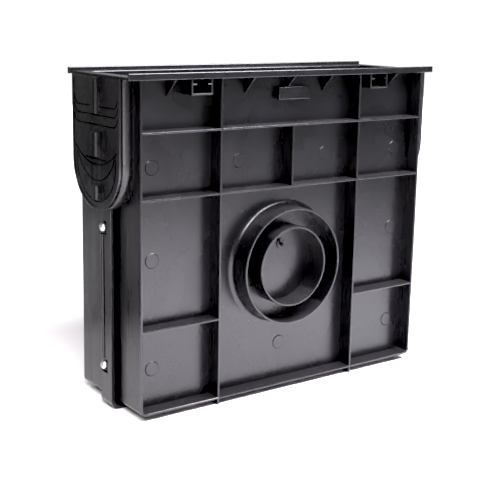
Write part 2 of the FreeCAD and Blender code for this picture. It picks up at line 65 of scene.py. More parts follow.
def linear(code: str) -> tuple[float, float, float, float]:
    """Turn an sRGB hex colour into linear light.

    Args:
        code: Six hex digits, with or without a leading hash sign.

    Returns:
        Red, green, blue and an alpha of one.
    """
    parts = [int(code.lstrip("#")[place:place + 2], 16) / 255 for place in (0, 2, 4)]
    light = [part / 12.92 if part <= 0.04045 else ((part + 0.055) / 1.055) ** 2.4 for part in parts]
    return light[0], light[1], light[2], 1.0


def add_node(
        tree: bpy.types.NodeTree, kind: str, inputs: dict | None = None, **settings: Any) -> bpy.types.Node:
    """Add one node to a tree.

    Args:
        tree: Shader or geometry tree.
        kind: Blender's name of the node type.
        inputs: Socket name or number with the value that it gets, or the socket that it is linked to.
        **settings: Properties of the node.

    Returns:
        The new node.
    """
    node = tree.nodes.new(kind)
    for name, value in settings.items():
        setattr(node, name, value)
    for key, value in (inputs or {}).items():
        if isinstance(value, bpy.types.NodeSocket):
            tree.links.new(value, node.inputs[key])
        else:
            node.inputs[key].default_value = value
    return node


def new_material(name: str) -> tuple[bpy.types.Material, bpy.types.NodeTree]:
    """Start a node material.

    Args:
        name: Name of the material.

    Returns:
        The material and its empty tree.
    """
    made = bpy.data.materials.new(name)
    made.use_nodes = True
    made.node_tree.nodes.clear()
    return made, made.node_tree


@dataclass(frozen=True)
class MouldedPolypropylene:
    """Injection-moulded polypropylene: a satin skin with flow clouds, draw streaks and a spark grain."""

    name: str
    deep: str
    pale: str
    edge_highlight: str
    painted_top_light: str
    roughness: float
    ior: float = 1.49
    dust: str = "#a5a29d"
    shade_colour: str = "#020202"
    faces_end: float = 0.9
    faces_up: float = 0.75
    cloud_mm: float = 60.0
    cloud_range: tuple[float, float] = (0.3, 0.7)
    cloud_roughness: tuple[float, float] = (-0.04, 0.05)
    streak_mm: float = 13.0
    streak_stretch: float = 50.0
    streak_roughness: float = 0.4
    streak_depth_mm: float = 0.5
    streak_strength: float = 0.15
    grain_mm: float = 1.4
    grain_depth_mm: float = 0.1
    grain_strength: float = 0.1
    dust_mm: float = 13.0
    speck_share: float = 0.045
    bare_share: float = 0.72
    dust_cover: float = 0.35
    open_shine: float = 0.5
    shade_shine: float = 0.04

    def material(self) -> bpy.types.Material:
        """Make the material.

        Returns:
            A node material that reads object coordinates and the attributes of the painted edge highlight and
            of the painted shade.
        """
        made, tree = new_material(self.name)
        place = add_node(tree, "ShaderNodeTexCoord").outputs["Object"]
        # Flow clouds: the melt leaves slightly paler and darker patches
        cloud = add_node(tree, "ShaderNodeTexNoise", {
            "Vector": place, "Scale": 1 / (self.cloud_mm * MM), "Detail": 4.0, "Distortion": 0.8})
        # Draw streaks: upright marks on the end walls from pulling the moulding off the tool
        drawn = add_node(tree, "ShaderNodeMapping", {
            "Vector": place, "Scale": (1.0, 1.0, 1 / self.streak_stretch)})
        streak = add_node(tree, "ShaderNodeTexNoise", {
            "Vector": drawn.outputs[0], "Scale": 1 / (self.streak_mm * MM), "Detail": 3.0})
        facing = add_node(tree, "ShaderNodeSeparateXYZ", {
            0: add_node(tree, "ShaderNodeNewGeometry").outputs["True Normal"]})
        endways = add_node(tree, "ShaderNodeMath", {0: facing.outputs["X"]}, operation="ABSOLUTE")
        end_wall = add_node(tree, "ShaderNodeMath", {
            0: endways.outputs[0], 1: self.faces_end}, operation="GREATER_THAN")
        centred = add_node(tree, "ShaderNodeMath", {0: streak.outputs["Fac"], 1: 0.5}, operation="SUBTRACT")
        streaks = add_node(tree, "ShaderNodeMath", {
            0: centred.outputs[0], 1: end_wall.outputs[0]}, operation="MULTIPLY")
        # Spark grain, drawn several times coarser than the real tool finish so that it shows
        grain = add_node(tree, "ShaderNodeTexNoise", {
            "Vector": place, "Scale": 1 / (self.grain_mm * MM), "Detail": 2.0})
        # Dust: sparse pale specks that settle on a black moulding
        cells = add_node(tree, "ShaderNodeTexVoronoi", {"Vector": place, "Scale": 1 / (self.dust_mm * MM)})
        near = add_node(tree, "ShaderNodeMath", {
            0: cells.outputs["Distance"], 1: self.speck_share}, operation="LESS_THAN")
        chance = add_node(tree, "ShaderNodeSeparateColor", {0: cells.outputs["Color"]})
        chosen = add_node(tree, "ShaderNodeMath", {
            0: chance.outputs[0], 1: self.bare_share}, operation="GREATER_THAN")
        specks = add_node(tree, "ShaderNodeMath", {
            0: near.outputs[0], 1: chosen.outputs[0]}, operation="MULTIPLY")
        edge_lit = add_node(tree, "ShaderNodeAttribute", attribute_name="edge_highlight").outputs["Fac"]

        body = add_node(tree, "ShaderNodeMix", {
            0: cloud.outputs["Fac"], 6: linear(self.deep), 7: linear(self.pale)}, data_type="RGBA")
        # Painted light from above: faces that look upwards are painted a little greyer
        level = add_node(tree, "ShaderNodeMath", {
            0: facing.outputs["Z"], 1: self.faces_up}, operation="GREATER_THAN")
        top_lit = add_node(tree, "ShaderNodeMix", {
            0: level.outputs[0], 6: body.outputs[2], 7: linear(self.painted_top_light)}, data_type="RGBA")
        # Painted highlight: the rounded edge strips are painted a lighter grey
        edged = add_node(tree, "ShaderNodeMix", {
            0: edge_lit, 6: top_lit.outputs[2], 7: linear(self.edge_highlight)}, data_type="RGBA")
        faint = add_node(tree, "ShaderNodeMath", {
            0: specks.outputs[0], 1: self.dust_cover}, operation="MULTIPLY")
        dusted = add_node(tree, "ShaderNodeMix", {
            0: faint.outputs[0], 6: edged.outputs[2], 7: linear(self.dust)}, data_type="RGBA")
        # Painted shade: cuts and seams, too narrow to give light back, are painted near black with little
        # shine, and shaded flanks get a part of that
        cut = add_node(tree, "ShaderNodeAttribute", attribute_name="cut").outputs["Fac"]
        colour = add_node(tree, "ShaderNodeMix", {
            0: cut, 6: dusted.outputs[2], 7: linear(self.shade_colour)}, data_type="RGBA")
        gleam = add_node(tree, "ShaderNodeMapRange", {
            "Value": cut, "To Min": self.open_shine, "To Max": self.shade_shine})

        sleek, dull = (self.roughness + change for change in self.cloud_roughness)
        rough_cloud = add_node(tree, "ShaderNodeMapRange", {
            "Value": cloud.outputs["Fac"], "From Min": self.cloud_range[0], "From Max": self.cloud_range[1],
            "To Min": sleek, "To Max": dull})
        rough = add_node(tree, "ShaderNodeMath", {
            0: streaks.outputs[0], 1: self.streak_roughness, 2: rough_cloud.outputs[0]},
            operation="MULTIPLY_ADD")
        wave = add_node(tree, "ShaderNodeBump", {
            "Height": streaks.outputs[0], "Strength": self.streak_strength,
            "Distance": self.streak_depth_mm * MM})
        skin = add_node(tree, "ShaderNodeBump", {
            "Height": grain.outputs["Fac"], "Strength": self.grain_strength,
            "Distance": self.grain_depth_mm * MM, "Normal": wave.outputs[0]})
        shader = add_node(tree, "ShaderNodeBsdfPrincipled", {
            "Base Color": colour.outputs[2], "Roughness": rough.outputs[0], "Normal": skin.outputs[0],
            "Specular IOR Level": gleam.outputs[0], "IOR": self.ior})
        add_node(tree, "ShaderNodeOutputMaterial", {"Surface": shader.outputs[0]})
        return made


@dataclass(frozen=True)
class ZincPlatedSteel:
    """Bright zinc-plated steel: a pale metal with a soft crystalline bloom."""

    name: str
    bright: str
    dull: str
    roughness: float = 0.42
    roughness_change: float = 0.08
    bloom_mm: float = 2.5

    def material(self) -> bpy.types.Material:
        """Make the material.

        Returns:
            A node material that reads object coordinates.
        """
        made, tree = new_material(self.name)
        place = add_node(tree, "ShaderNodeTexCoord").outputs["Object"]
        bloom = add_node(tree, "ShaderNodeTexNoise", {
            "Vector": place, "Scale": 1 / (self.bloom_mm * MM), "Detail": 3.0})
        colour = add_node(tree, "ShaderNodeMix", {
            0: bloom.outputs["Fac"], 6: linear(self.bright), 7: linear(self.dull)}, data_type="RGBA")
        rough = add_node(tree, "ShaderNodeMapRange", {
            "Value": bloom.outputs["Fac"], "To Min": self.roughness - self.roughness_change,
            "To Max": self.roughness + self.roughness_change})
        shader = add_node(tree, "ShaderNodeBsdfPrincipled", {
            "Base Color": colour.outputs[2], "Roughness": rough.outputs[0], "Metallic": 1.0})
        add_node(tree, "ShaderNodeOutputMaterial", {"Surface": shader.outputs[0]})
        return made


@dataclass(frozen=True)
class PaintedFloor:
    """Matt white paint on a smooth studio floor: an even white that mirrors next to nothing."""

    name: str = "matt_white_studio_paint"
    white: str = "#f6f6f6"
    off_white: str = "#f1f1f2"
    roughness: float = 0.7
    shine: float = 0.2
    mottle_mm: float = 500 / 3

    def material(self) -> bpy.types.Material:
        """Make the material.

        Returns:
            A node material with a barely visible roller mottle.
        """
        made, tree = new_material(self.name)
        place = add_node(tree, "ShaderNodeTexCoord").outputs["Object"]
        mottle = add_node(tree, "ShaderNodeTexNoise", {
            "Vector": place, "Scale": 1 / (self.mottle_mm * MM), "Detail": 3.0})
        colour = add_node(tree, "ShaderNodeMix", {
            0: mottle.outputs["Fac"], 6: linear(self.white), 7: linear(self.off_white)}, data_type="RGBA")
        shader = add_node(tree, "ShaderNodeBsdfPrincipled", {
            "Base Color": colour.outputs[2], "Roughness": self.roughness, "Specular IOR Level": self.shine})
        add_node(tree, "ShaderNodeOutputMaterial", {"Surface": shader.outputs[0]})
        return made


@dataclass(frozen=True)
class BlackCard:
    """Matt black card, plain black in what a moulding mirrors."""

    name: str = "matt_black_card"
    black: str = "#0a0a0a"
    roughness: float = 0.9

    def material(self) -> bpy.types.Material:
        """Make the material.

        Returns:
            A plain dark matt node material.
        """
        made, tree = new_material(self.name)
        shader = add_node(tree, "ShaderNodeBsdfPrincipled", {
            "Base Color": linear(self.black), "Roughness": self.roughness})
        add_node(tree, "ShaderNodeOutputMaterial", {"Surface": shader.outputs[0]})
        return made


# A satin black that turns grey where it mirrors a pale floor, with thin light lines along its edges from
# their rounding and from a painted highlight
BLACK_PP = MouldedPolypropylene(
    name="moulded_black_polypropylene", deep="#060607", pale="#0b0b0c", edge_highlight="#111113", painted_top_light="#1c1b1c",
    roughness=0.27)
# Dark grey with a dull sheen and no clear reflections
BASKET_PP = MouldedPolypropylene(
    name="moulded_dark_grey_polypropylene", deep="#2a2b2d", pale="#333437", edge_highlight="#4c4d50",
    painted_top_light="#38393b", roughness=0.48)
# A pale metal whose plating blurs what it mirrors into soft glints
SCREW_ZINC = ZincPlatedSteel(name="bright_zinc_plated_steel", bright="#eceef0", dull="#ccd0d4")


def new_object(name: str, mesh: bpy.types.Mesh) -> bpy.types.Object:
    """Put a mesh in the scene at the origin.

    Args:
        name: Name of the piece.
        mesh: Its mesh.

    Returns:
        The object.
    """
    made = bpy.data.objects.new(name, mesh)
    bpy.context.scene.collection.objects.link(made)
    return made


def merged_copy(node: str) -> bpy.types.Mesh:
    """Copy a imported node's mesh with its loose triangles joined up.

    Args:
        node: Name of the node.

    Returns:
        A closed mesh with flat faces as single polygons.
    """
    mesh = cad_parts[node].data.copy()
    for name in ("custom_normal", "sharp_edge", "sharp_face"):
        if name in mesh.attributes:
            mesh.attributes.remove(mesh.attributes[name])
    form = bmesh.new()
    form.from_mesh(mesh)
    bmesh.ops.remove_doubles(form, verts=form.verts[:], dist=WELD)
    bmesh.ops.dissolve_limit(
        form, angle_limit=FLAT_TURN, use_dissolve_boundaries=False, verts=form.verts[:], edges=form.edges[:])
    form.to_mesh(mesh)
    form.free()
    mesh.materials.clear()
    return mesh


@dataclass(frozen=True)
class Rounding:
    """Sizes of a moulding's rounded outer edges, in metres."""

    edge: float
    shortest: float
    steps: int = 2
    ends: float = math.inf
    seam: float = 0.0
    least_turn: float = math.radians(40)
    room: float = 2.2

    def takes(self, edge: bmesh.types.BMEdge) -> bool:
        """Whether an edge is rounded: a long enough outer corner between wide faces, away from the seam.

        Args:
            edge: The edge.

        Returns:
            True if the rounding goes on.
        """
        if len(edge.link_faces) != 2 or not edge.is_convex or edge.calc_length() < self.shortest:
            return False
        if edge.calc_face_angle() < self.least_turn:
            return False
        first, last = (end.co for end in edge.verts)
        at_end = max(abs(first.x), abs(last.x)) > self.ends
        if at_end and max(abs(first.y), abs(last.y)) < self.seam:
            return False
        return all(wide(face, self.room * self.edge) for face in edge.link_faces)


@dataclass(frozen=True)
class Ring:
    """Foot of the large outlet spigot on the side wall, in metres."""

    height: float = 175.5 * MM
    radius: float = 80 * MM
    fillet: float = 7 * MM
    steps: int = 6
    slack: float = 0.3 * MM
    least_turn: float = math.radians(60)

    def off_rim(self, place: Vector) -> float:
        """Distance of a place from the outer side of the spigot, measured along the wall."""
        return math.hypot(place.x, place.z - self.height) - self.radius

    def foot_edges(self, form: bmesh.types.BMesh) -> list[bmesh.types.BMEdge]:
        """Find the inner corner between the spigot and the wall.

        Args:
            form: Mesh of a half shell.

        Returns:
            The edges of that circle.
        """
        return [
            edge for edge in form.edges
            if len(edge.link_faces) == 2 and not edge.is_convex and edge.calc_face_angle() > self.least_turn
            and all(abs(self.off_rim(end.co)) < self.slack for end in edge.verts)
        ]


@dataclass(frozen=True)
class Collar:
    """Side of the channel sockets: a rounded swelling and a fine groove behind the front edge, in metres."""

    half_width: float = 62 * MM
    centre: float = 326 * MM
    root: float = 233 * MM
    swell: tuple[float, float] = (235.6 * MM, 249.0 * MM)
    rise: float = 3.6 * MM
    strips: int = 10
    groove: tuple[float, float] = (249.5 * MM, 250.4 * MM)
    groove_depth: float = 0.9 * MM
    groove_slope: float = 0.1 * MM
    fade: tuple[float, float] = (14 * MM, 34 * MM)
    slack: float = 0.3 * MM
    level: float = 0.02

    def outward(self, place: Vector) -> Vector:
        """Vector from the middle line of the socket to a place on its side."""
        return Vector((0.0, place.y, min(place.z - self.centre, 0.0)))

    def on_side(self, place: Vector) -> bool:
        """Whether a place lies on the outer side of a socket."""
        return (abs(place.x) > self.root - self.slack and place.z > self.centre - self.half_width - self.slack
                and abs(self.outward(place).length - self.half_width) < self.slack)

    def stations(self) -> list[tuple[float, float]]:
        """Section of the side.

        Returns:
            Distances from the middle of the part, each with the height of the surface there.
        """
        low, high = self.swell
        middle, half = (low + high) / 2, (high - low) / 2
        turns = [math.pi * step / self.strips for step in range(self.strips + 1)]
        swelling = [(middle - half * math.cos(turn), self.rise * math.sin(turn)) for turn in turns]
        near, far = self.groove
        return swelling + [
            (near - self.groove_slope, 0.0), (near, -self.groove_depth),
            (far, -self.groove_depth), (far + self.groove_slope, 0.0)]

    def move(self, place: Vector, rise: float) -> Vector:
        """Way that a place on the side goes to reach its height.

        Args:
            place: The place.
            rise: Height of the section there.

        Returns:
            The way, which fades out towards the lowest line of the socket.
        """
        start, full = self.fade
        share = (abs(place.y) - start) / (full - start)
        return self.outward(place).normalized() * rise * min(max(share, 0.0), 1.0)

    def shape(self, mesh: bpy.types.Mesh) -> None:
        """Press the section into the sides of both sockets and paint shade into the groove.

        Args:
            mesh: Mesh of a half shell, changed in place.
        """
        form = bmesh.new()
        form.from_mesh(mesh)
        dark = form.faces.layers.float["cut"]
        moves: dict[bmesh.types.BMVert, Vector] = {}
        for end in (-1, 1):
            for place, rise in self.stations():
                sides = [
                    face for face in form.faces if abs(face.normal.x) < self.level
                    and all(self.on_side(corner.co) for corner in face.verts)]
                edges = {edge for face in sides for edge in face.edges}
                corners = {corner for face in sides for corner in face.verts}
                bmesh.ops.bisect_plane(
                    form, geom=sides + list(edges) + list(corners), dist=WELD / 2,
                    plane_co=(end * place, 0.0, 0.0), plane_no=(1.0, 0.0, 0.0))
                for corner in form.verts:
                    if abs(corner.co.x - end * place) < WELD and self.on_side(corner.co):
                        moves[corner] = self.move(corner.co, rise)
        for corner, way in moves.items():
            corner.co += way
        # Painted shade in the groove
        near, far = self.groove[0] - 2 * self.groove_slope, self.groove[1] + 2 * self.groove_slope
        for face in form.faces:
            in_groove = all(near < abs(corner.co.x) < far for corner in face.verts)
            if in_groove and any(corner in moves for corner in face.verts):
                face[dark] = 1.0
        form.to_mesh(mesh)
        form.free()


def wide(face: bmesh.types.BMFace, room: float) -> bool:
    """Whether a face is wide enough to lose a strip of its edge.

    Args:
        face: The face.
        room: Least width in metres.

    Returns:
        True if twice its area over its outline is that much.
    """
    return 2 * face.calc_area() / face.calc_perimeter() >= room


def round_over(
        form: bmesh.types.BMesh, edges: list[bmesh.types.BMEdge], radius: float,
        steps: int) -> list[bmesh.types.BMFace]:
    """Turn sharp edges into round ones.

    Args:
        form: The mesh.
        edges: Its edges that are rounded.
        radius: Size of the rounding in metres.
        steps: Strips across the rounding.

    Returns:
        The faces of the new strips.
    """
    made = bmesh.ops.bevel(
        form, geom=edges, offset=radius, offset_type="OFFSET", segments=steps, profile=0.5,
        affect="EDGES", clamp_overlap=False)
    return made["faces"]


def soften(mesh: bpy.types.Mesh, rounding: Rounding, ring: Ring | None = None) -> None:
    """Round the outer edges of a moulding and mark their strips for a painted highlight.

    Args:
        mesh: Closed mesh, changed in place.
        rounding: Sizes of the roundings.
        ring: Spigot whose foot gets a fillet, if there is one.
    """
    form = bmesh.new()
    form.from_mesh(mesh)
    edge_highlight = form.faces.layers.float.new("edge_highlight")
    if ring:
        round_over(form, ring.foot_edges(form), ring.fillet, ring.steps)
    edges = [edge for edge in form.edges if rounding.takes(edge)]
    # The new strips are marked for a painted highlight, a lighter colour
    for face in round_over(form, edges, rounding.edge, rounding.steps):
        face[edge_highlight] = 1.0
    bmesh.ops.dissolve_degenerate(form, dist=SLIVER, edges=form.edges[:])
    form.to_mesh(mesh)
    form.free()
    shade(mesh)


def shade(
        mesh: bpy.types.Mesh, crease: float = math.radians(22), largest: float = 300 * MM * MM) -> None:
    """Shade a mesh smoothly up to its creases and leave its large walls flat.

    Args:
        mesh: The mesh.
        crease: Turn between two faces above which their edge stays sharp.
        largest: Area in square metres above which a face is a flat wall.
    """
    mesh.shade_smooth()
    mesh.set_sharp_from_angle(angle=crease)
    for face in mesh.polygons:
        face.use_smooth = face.area < largest


def bake(worker: bpy.types.Object, name: str) -> bpy.types.Mesh:
    """Turn what a piece's Geometry Nodes give into a plain mesh.

    Args:
        worker: Object that carries the modifier; it is removed.
        name: Name of the mesh.

    Returns:
        The plain mesh.
    """
    graph = bpy.context.evaluated_depsgraph_get()
    mesh = bpy.data.meshes.new_from_object(worker.evaluated_get(graph))
    mesh.name = name
    bpy.data.objects.remove(worker)
    return mesh


def new_tree(
        name: str, sizes: dict[str, float], takes_mesh: bool) -> tuple[bpy.types.NodeTree, bpy.types.Node]:
    """Start a geometry tree with named size inputs.

    Args:
        name: Name of the tree.
        sizes: Input names with their values in metres.
        takes_mesh: Whether the tree works on the object's own mesh.

    Returns:
        The tree and its group input node.
    """
    tree = bpy.data.node_groups.new(name, "GeometryNodeTree")
    if takes_mesh:
        tree.interface.new_socket("Geometry", in_out="INPUT", socket_type="NodeSocketGeometry")
    for size in sizes:
        tree.interface.new_socket(size, in_out="INPUT", socket_type="NodeSocketFloat")
    tree.interface.new_socket("Geometry", in_out="OUTPUT", socket_type="NodeSocketGeometry")
    return tree, tree.nodes.new("NodeGroupInput")


def end_tree(tree: bpy.types.NodeTree, form: bpy.types.NodeSocket, finish: bpy.types.Material) -> None:
    """Close a geometry tree with plain geometry in one material.

    Args:
        tree: The tree.
        form: What it has made.
        finish: Material of the piece.
    """
    plain = add_node(tree, "GeometryNodeRealizeInstances", {0: form})
    dressed = add_node(tree, "GeometryNodeSetMaterial", {"Geometry": plain.outputs[0], "Material": finish})
    add_node(tree, "NodeGroupOutput", {0: dressed.outputs[0]})


def run_tree(worker: bpy.types.Object, tree: bpy.types.NodeTree, sizes: dict[str, float]) -> None:
    """Give an object a geometry tree and set the tree's inputs.

    Args:
        worker: The object.
        tree: The finished tree.
        sizes: Input names with their values in metres.
    """
    modifier = worker.modifiers.new(tree.name, "NODES")
    modifier.node_group = tree
    for item in tree.interface.items_tree:
        if item.item_type == "SOCKET" and item.in_out == "INPUT" and item.name in sizes:
            modifier[item.identifier] = sizes[item.name]


@dataclass
class HalfShell:
    """One half of the body: ribbed side wall, ends, floor and rim in one moulding."""

    half: Half
    rounding: Rounding = Rounding(
        edge=0.85 * MM, shortest=2.5 * MM, ends=229 * MM, seam=12 * MM)
    panel_place: float = 55 * MM
    pad_radius: float = 10 * MM
    pad_proud: float = 0.8 * MM
    pad_slope: float = 0.95 * MM
    pad_rows: tuple[tuple[float, float], ...] = (
        (204 * MM, 321 * MM), (72 * MM, 321 * MM), (204 * MM, 203 * MM), (204 * MM, 61 * MM), (0.0, 61 * MM))
    ring: Ring = Ring()
    collar: Collar = Collar()
    bead_place: tuple[float, float] = (239.9 * MM, 5.6 * MM)
    bead_radius: float = 3.5 * MM
    bead_span: tuple[float, float] = (65.5 * MM, 230.5 * MM)
    screw_heights: tuple[float, float] = SCREW_HEIGHTS
    recess_place: tuple[float, float] = (240 * MM, 5 * MM)
    recess_radius: float = 8 * MM
    recess_rise: float = 2.5 * MM
    recess_depth: float = 1.2 * MM
    recess_span: tuple[float, float] = (236 * MM, 241.8 * MM)
    recess_reach: float = 13 * MM
    pocket_place: tuple[float, float] = (233 * MM, 14 * MM)
    pocket_size: tuple[float, float, float] = (2.4 * MM, 6.4 * MM, 9 * MM)
    seam_face: float = 242 * MM
    slit_width: float = 2.4 * MM
    slit_sink: float = 1.6 * MM
    slit_gap: float = 1 * MM
    line_span: tuple[float, float] = (250.7 * MM, 251.95 * MM)
    rib_ends: float = 225 * MM
    ring_margin: float = 2 * MM
    bar_foot: float = 253.2 * MM
    slope: tuple[float, float] = (0.2, 0.97)
    flank_shade: float = 0.48
    pad_shade: float = 0.6
    sleeve_base: float = 405 * MM
    sleeve_span: tuple[float, float] = (131 * MM, 162 * MM)
    stub_height: float = 200 * MM
    stub_radius: float = 2.6 * MM
    stub_taper: float = 0.45
    stub_root: float = 1 * MM
    stub_reach: float = 7 * MM
    stub_rise: float = 8 * MM

    def stub(self, tree: bpy.types.NodeTree, value: Any) -> bpy.types.NodeSocket:
        """Add the torn-off stub of the gate, which tapers and curls upwards from the middle of the disc.

        Args:
            tree: Geometry tree of the moulding's marks.
            value: Outputs of the tree's group input.

        Returns:
            The stub's mesh.
        """
        side = self.half.value
        root = side * (self.panel_place - self.stub_root)
        tip = side * (self.panel_place + self.stub_reach)
        bend = add_node(tree, "GeometryNodeCurveQuadraticBezier", {
            "Resolution": 12, "Start": (0.0, root, self.stub_height), "Middle": (0.0, tip, self.stub_height),
            "End": (0.0, tip, self.stub_height + self.stub_rise)})
        along = add_node(tree, "GeometryNodeSplineParameter").outputs["Factor"]
        taper = add_node(tree, "ShaderNodeMapRange", {
            "Value": along, "To Min": 1.0, "To Max": self.stub_taper})
        tapered = add_node(tree, "GeometryNodeSetCurveRadius", {
            "Curve": bend.outputs[0], "Radius": taper.outputs[0]})
        section = add_node(tree, "GeometryNodeCurvePrimitiveCircle", {
            "Resolution": 12, "Radius": value["Stub Radius"]}, mode="RADIUS")
        tube = add_node(tree, "GeometryNodeCurveToMesh", {
            "Curve": tapered.outputs[0], "Profile Curve": section.outputs[0], "Scale": taper.outputs[0],
            "Fill Caps": True})
        return tube.outputs[0]

    def bead(self, tree: bpy.types.NodeTree, value: Any) -> bpy.types.NodeSocket:
        """Add the half-round bead along the lapped edge of the seam, between the two screws.

        Args:
            tree: Geometry tree of the moulding's marks.
            value: Outputs of the tree's group input.

        Returns:
            The bead's mesh.
        """
        side = self.half.value
        low, high = self.bead_span
        rod = add_node(tree, "GeometryNodeMeshCylinder", {
            "Vertices": 20, "Radius": value["Bead Radius"], "Depth": high - low})
        across, along = self.bead_place
        placed = add_node(tree, "GeometryNodeTransform", {
            "Geometry": rod.outputs["Mesh"], "Translation": (-side * across, side * along, (low + high) / 2)})
        return placed.outputs[0]

    def recesses(self, tree: bpy.types.NodeTree, value: Any) -> bpy.types.NodeSocket:
        """Add the cutters of the screw recesses and of the seam's slit, whose cut faces get painted shade.

        Args:
            tree: Geometry tree of the moulding's marks.
            value: Outputs of the tree's group input.

        Returns:
            The cutters' mesh.
        """
        side = self.half.value
        drill = add_node(tree, "GeometryNodeMeshCylinder", {
            "Vertices": 32, "Radius": value["Recess Radius"], "Depth": self.recess_depth * 2})
        laid = add_node(tree, "GeometryNodeTransform", {
            "Geometry": drill.outputs["Mesh"], "Rotation": (0.0, math.pi / 2, 0.0)})
        block = add_node(tree, "GeometryNodeMeshCube", {"Size": self.pocket_size})
        joined = add_node(tree, "GeometryNodeJoinGeometry")
        for form, x, y in (
                (laid, side * self.recess_place[0], -side * self.recess_place[1]),
                (block, -side * self.pocket_place[0], side * self.pocket_place[1])):
            row = add_node(tree, "GeometryNodeMeshLine", {
                "Count": len(self.screw_heights),
                "Start Location": (x, y, self.screw_heights[0] + self.recess_rise),
                "Offset": (0.0, 0.0, self.screw_heights[1] - self.screw_heights[0])}, mode="OFFSET")
            placed = add_node(tree, "GeometryNodeInstanceOnPoints", {
                "Points": row.outputs[0], "Instance": form.outputs[0]})
            tree.links.new(placed.outputs[0], joined.inputs[0])
        low, high = self.bead_span
        saw = add_node(tree, "GeometryNodeMeshCube", {
            "Size": (self.slit_sink * 2, self.slit_width, high - low - self.slit_gap)})
        for end in (-1, 1):
            slit = add_node(tree, "GeometryNodeTransform", {
                "Geometry": saw.outputs[0],
                "Translation": (end * self.seam_face, 0.0, (low + high) / 2)})
            tree.links.new(slit.outputs[0], joined.inputs[0])
        solid = add_node(tree, "GeometryNodeRealizeInstances", {0: joined.outputs[0]})
        # Painted shade on the faces that the cutters leave
        return add_node(tree, "GeometryNodeStoreNamedAttribute", {
            "Geometry": solid.outputs[0], "Name": "cut", "Value": 1.0}, domain="FACE").outputs[0]

    def darken_lines(self, mesh: bpy.types.Mesh) -> None:
        """Paint shade into the cutting lines on the socket faces and the recesses round the screws.

        Args:
            mesh: The moulding before its edges are rounded.
        """
        dark = mesh.attributes.get("cut") or mesh.attributes.new("cut", "FLOAT", "FACE")
        low, high = self.recess_span
        for face in mesh.polygons:
            place = abs(face.center.x)
            in_line = self.line_span[0] < place < self.line_span[1]
            near_screw = any(abs(face.center.z - height) < self.recess_reach for height in self.screw_heights)
            if in_line or (near_screw and low < place < high and abs(face.center.y) < self.recess_reach):
                dark.data[face.index].value = 1.0

    def faint(self, face: bpy.types.MeshPolygon) -> float:
        """How much painted shade a face gets because of its place.

        Args:
            face: A face of the moulding with its edges already rounded.

        Returns:
            A share for rib flanks and bar corners, a larger one for pad slopes and the shelves in the clip
            sleeves, and nothing for open walls.
        """
        place = face.center
        across, along = abs(place.x), abs(place.y)
        least, most = self.slope
        sloped = least < abs(face.normal.y) < most
        beside_ring = self.ring.off_rim(place) > self.ring.fillet + self.ring_margin
        on_wall = self.panel_place < along and across < self.rib_ends and beside_ring
        if on_wall and sloped and along < self.panel_place + self.pad_proud:
            return self.pad_shade
        if on_wall and face.normal.z > least and place.z > self.sleeve_base:
            return self.pad_shade if self.sleeve_span[0] < across < self.sleeve_span[1] else 0.0
        on_rib = on_wall and abs(face.normal.x) > most
        on_bar = sloped and across > self.bar_foot
        return self.flank_shade if on_rib or on_bar else 0.0

    def dim_faces(self, mesh: bpy.types.Mesh) -> None:
        """Paint shade onto the rib flanks, bar corners, pad slopes and the shelves in the clip sleeves.

        Args:
            mesh: The moulding with its edges already rounded.
        """
        dark = mesh.attributes["cut"].data
        for face in mesh.polygons:
            dark[face.index].value = max(dark[face.index].value, self.faint(face))

    def pad_tree(self, finish: bpy.types.Material) -> tuple[bpy.types.NodeTree, dict[str, float]]:
        """Make the tree that sets low round ejector pads and the gate stub on the side wall.

        Args:
            finish: Material of the moulding.

        Returns:
            The tree and the values of its inputs.
        """
        sizes = {
            "Pad Crown": self.pad_radius - self.pad_slope,
            "Pad Foot": self.pad_radius + self.pad_slope,
            "Pad Depth": self.pad_proud * 2,
            "Pad Sink": -self.pad_proud,
            "Panel Place": self.panel_place * self.half.value,
            "Stub Radius": self.stub_radius,
        }
        tree, start = new_tree(f"ejector_pads_{self.half.name.lower()}", sizes, takes_mesh=True)
        value = start.outputs
        joined = add_node(tree, "GeometryNodeJoinGeometry")
        for spread, height in self.pad_rows:
            ends = [
                add_node(tree, "ShaderNodeCombineXYZ", {"X": x, "Y": value["Panel Place"], "Z": height})
                for x in (-spread, spread)
            ]
            row = add_node(tree, "GeometryNodeMeshLine", {
                "Count": 2 if spread else 1, "Start Location": ends[0].outputs[0],
                "Offset": ends[1].outputs[0]}, mode="END_POINTS")
            tree.links.new(row.outputs[0], joined.inputs[0])
        # A low cone, half of it sunk in the wall, whose slope catches the light
        cone = add_node(tree, "GeometryNodeMeshCone", {
            "Vertices": 48, "Radius Top": value["Pad Crown"], "Radius Bottom": value["Pad Foot"],
            "Depth": value["Pad Depth"]})
        sink = add_node(tree, "ShaderNodeCombineXYZ", {"Z": value["Pad Sink"]})
        centred = add_node(tree, "GeometryNodeTransform", {
            "Geometry": cone.outputs["Mesh"], "Translation": sink.outputs[0]})
        pads = add_node(tree, "GeometryNodeInstanceOnPoints", {
            "Points": joined.outputs[0], "Instance": centred.outputs[0],
            "Rotation": (-math.pi / 2 * self.half.value, 0.0, 0.0)})
        solid = add_node(tree, "GeometryNodeRealizeInstances", {0: pads.outputs[0]})
        fused = add_node(tree, "GeometryNodeMeshBoolean", operation="UNION")
        for part in (value["Geometry"], solid.outputs[0], self.stub(tree, value)):
            tree.links.new(part, fused.inputs["Mesh 2"])
        end_tree(tree, fused.outputs["Mesh"], finish)
        return tree, sizes

